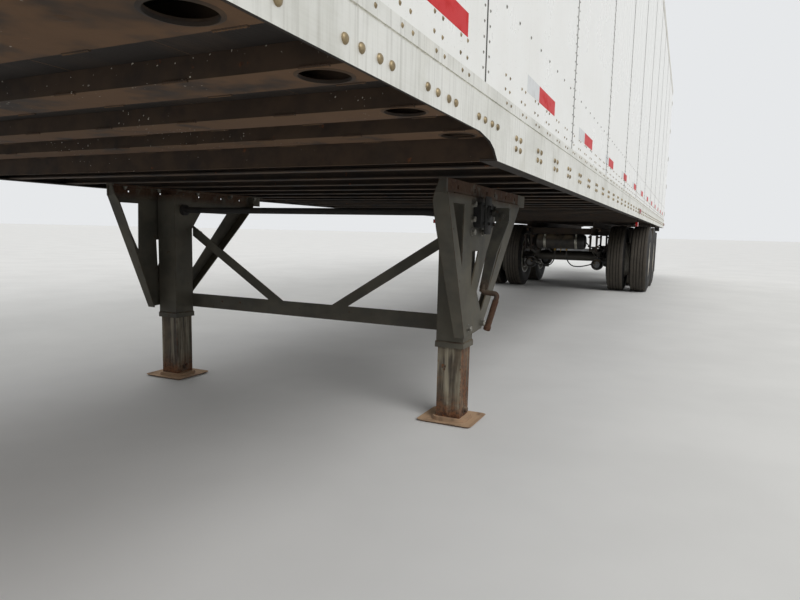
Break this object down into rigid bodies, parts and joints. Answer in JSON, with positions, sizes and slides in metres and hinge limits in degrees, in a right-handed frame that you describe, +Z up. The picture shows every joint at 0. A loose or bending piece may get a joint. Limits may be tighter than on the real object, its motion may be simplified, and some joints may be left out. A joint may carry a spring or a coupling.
{
  "type": "semi trailer",
  "caption": "Dry freight van semi trailer standing on its landing gear, with a sliding tandem of twin wheels and swinging rear doors.",
  "frame": {"origin": "on the ground under the middle of the trailer's length and width", "axes": "+X to the trailer's left side, +Y to its rear doors, +Z up"},
  "size_m": [2.627, 16.154, 4.1],
  "materials": {
    "mill_aluminium": "mill finish extrusion, dulled by weather",
    "galvanised_steel": "galvanised sheet",
    "roof_aluminium": "thin sheet",
    "white_panel": "gloss white prepainted plate",
    "floor_wood": "laminated hardwood, worn",
    "undercoated_steel": "waxy dark undercoat with dust",
    "spring_steel": "oil black with rust",
    "forged_steel": "forged and machined, greased",
    "painted_frame": "galvanised and painted",
    "zinc_steel": "zinc plated",
    "lamp_lens": "red and amber lenses",
    "cast_grey": "painted casting",
    "weathered_grey": "grey paint, dusty, rust at edges",
    "gear_grey": "dark painted gear case",
    "rusty_steel": "bare steel with brown rust",
    "tank_black": "black paint, dusty",
    "hose_rubber": "air hose rubber",
    "axle_paint": "black paint with dust and rust",
    "flap_rubber": "black moulded rubber",
    "tyre_rubber": "dusty black tyre rubber",
    "wheel_steel": "white painted steel wheel, dusty"
  },
  "bodies": {
    "trailer": {"body_rails": "undercoated_steel", "corner_posts": "mill_aluminium", "crank_handle": "rusty_steel", "cross_members": "undercoated_steel", "dock_bumpers": "flap_rubber", "floor_boards": "floor_wood", "front_posts": "galvanised_steel", "front_rails": "mill_aluminium", "front_wall": "white_panel", "kingpin": "forged_steel", "lamp_plates": "undercoated_steel", "lamps": "lamp_lens", "leg_boxes": "weathered_grey", "leg_brace": "weathered_grey", "leg_drive": "gear_grey", "leg_tubes": "weathered_grey", "rear_fittings": "zinc_steel", "rear_frame": "painted_frame", "roof_bows": "galvanised_steel", "roof_sheet": "roof_aluminium", "sand_shoes": "rusty_steel", "scuff_bands": "galvanised_steel", "service_panel": "cast_grey", "side_rails": "mill_aluminium", "side_wall_left": "white_panel", "side_wall_right": "white_panel", "top_rails": "mill_aluminium", "underride_guard": "painted_frame", "upper_coupler": "undercoated_steel", "wall_posts": "galvanised_steel", "wing_brackets": "weathered_grey"},
    "door_left": {"door_left": "white_panel", "door_hardware_left": "zinc_steel"},
    "door_right": {"door_right": "white_panel", "door_hardware_right": "zinc_steel"},
    "tandem": {"slider_frame": "undercoated_steel", "spring_hangers": "undercoated_steel", "leaf_springs": "spring_steel", "mud_flaps": "flap_rubber", "air_tank": "tank_black", "axle_front": "axle_paint", "axle_rear": "axle_paint", "brake_chambers": "tank_black", "air_hoses": "hose_rubber", "torque_rods": "axle_paint"},
    "wheel_front_left": {"tyres_front_left": "tyre_rubber", "wheels_front_left": "wheel_steel"},
    "wheel_front_right": {"tyres_front_right": "tyre_rubber", "wheels_front_right": "wheel_steel"},
    "wheel_rear_left": {"tyres_rear_left": "tyre_rubber", "wheels_rear_left": "wheel_steel"},
    "wheel_rear_right": {"tyres_rear_right": "tyre_rubber", "wheels_rear_right": "wheel_steel"}
  },
  "joints": [
    {"name": "tandem_slide", "type": "slide", "parent": "trailer", "child": "tandem", "axis": [0, 1, 0], "range_m": [0, 2.438]},
    {"name": "door_left_hinge", "type": "hinge", "parent": "trailer", "child": "door_left", "pos_m": [1.2835, 8.021, 2.6], "axis": [0, 0, -1], "range_deg": [0, 260]},
    {"name": "door_right_hinge", "type": "hinge", "parent": "trailer", "child": "door_right", "pos_m": [-1.2835, 8.021, 2.6], "axis": [0, 0, 1], "range_deg": [0, 260]},
    {"name": "wheel_front_left_spin", "type": "hinge", "parent": "tandem", "child": "wheel_front_left", "pos_m": [0.982, 3.172, 0.515], "axis": [1, 0, 0], "continuous": true},
    {"name": "wheel_front_right_spin", "type": "hinge", "parent": "tandem", "child": "wheel_front_right", "pos_m": [-0.982, 3.172, 0.515], "axis": [1, 0, 0], "continuous": true},
    {"name": "wheel_rear_left_spin", "type": "hinge", "parent": "tandem", "child": "wheel_rear_left", "pos_m": [0.982, 4.417, 0.515], "axis": [1, 0, 0], "continuous": true},
    {"name": "wheel_rear_right_spin", "type": "hinge", "parent": "tandem", "child": "wheel_rear_right", "pos_m": [-0.982, 4.417, 0.515], "axis": [1, 0, 0], "continuous": true}
  ]
}
